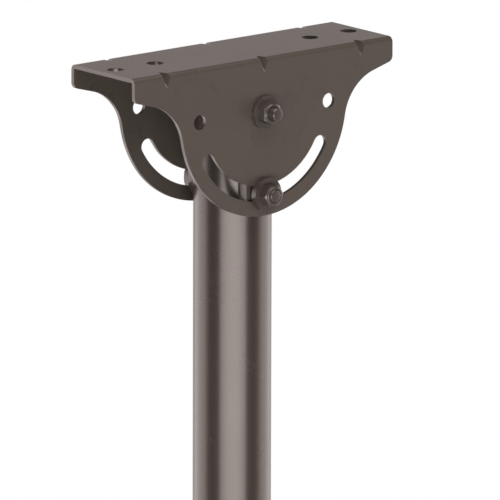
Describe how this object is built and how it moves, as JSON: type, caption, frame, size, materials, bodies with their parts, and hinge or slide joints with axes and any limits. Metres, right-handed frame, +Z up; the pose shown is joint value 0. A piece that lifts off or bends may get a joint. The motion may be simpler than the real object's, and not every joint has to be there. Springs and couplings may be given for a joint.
{
  "type": "tv ceiling mount",
  "caption": "Folded sheet ceiling bracket with arc slots in its cheeks and a round pole that tilts between them on a cross bolt.",
  "frame": {"origin": "centre of the bracket's top face, which lies against the ceiling", "axes": "+Z up into the ceiling, X along the bracket, Y from the front cheek to the rear cheek"},
  "size_m": [0.2046, 0.0835, 0.3213],
  "materials": {
    "bracket_paint": "semi-gloss powder coat",
    "pole_paint": "semi-gloss powder coat",
    "fastener_paint": "dark plating",
    "spacer_plastic": "semi-gloss, moulded",
    "sleeve_steel": "cut tube"
  },
  "bodies": {
    "bracket": {"ceiling_bracket": "bracket_paint", "pivot_bolt": "fastener_paint", "pivot_nut": "fastener_paint", "pivot_washer_front": "fastener_paint", "pivot_washer_rear": "fastener_paint"},
    "pole": {"pole": "pole_paint", "pivot_spacer_front": "spacer_plastic", "pivot_spacer_rear": "spacer_plastic", "pivot_sleeve": "sleeve_steel", "lock_bolt": "fastener_paint", "lock_nut": "fastener_paint", "lock_washer_front_inner": "fastener_paint", "lock_washer_front_outer": "fastener_paint", "lock_washer_rear_inner": "fastener_paint", "lock_washer_rear_outer": "fastener_paint", "lock_spacer_front": "spacer_plastic", "lock_spacer_rear": "spacer_plastic", "lock_sleeve": "sleeve_steel"}
  },
  "joints": [
    {"name": "pole_tilt", "type": "hinge", "parent": "bracket", "child": "pole", "pos_m": [0, 0, -0.0333], "axis": [0, 1, 0], "range_deg": [-60, 60]}
  ]
}
